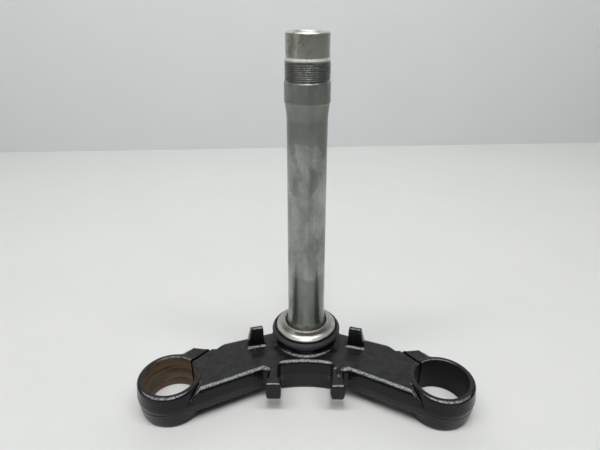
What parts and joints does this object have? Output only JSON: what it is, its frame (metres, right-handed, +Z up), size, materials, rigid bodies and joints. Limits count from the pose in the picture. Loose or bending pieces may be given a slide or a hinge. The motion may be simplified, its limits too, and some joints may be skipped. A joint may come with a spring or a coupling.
{
  "type": "motorcycle lower triple clamp",
  "caption": "Forged lower fork yoke with a hollow steering stem, lower bearing race, dust seal and pinch bolts.",
  "frame": {"origin": "on the steering axis, at the underside that the forging stands on", "axes": "+Z up along the steering stem, +X to the side through the two fork clamps' mirror pair, +Y to the rear of the motorcycle, with the fork tubes in front of the stem at -Y"},
  "size_m": [0.2396, 0.0983, 0.2494],
  "materials": {
    "black_paint": "semi-gloss",
    "zinc_steel": "satin",
    "bearing_steel": "polished",
    "seal_rubber": "matte",
    "bolt_steel": "satin"
  },
  "bodies": {
    "root": {"yoke": "black_paint", "steering_stem": "zinc_steel", "lower_bearing_race": "bearing_steel", "dust_seal": "seal_rubber", "left_pinch_bolt": "bolt_steel", "right_pinch_bolt": "bolt_steel", "left_spring_washer": "bolt_steel", "right_spring_washer": "bolt_steel"}
  },
  "joints": []
}
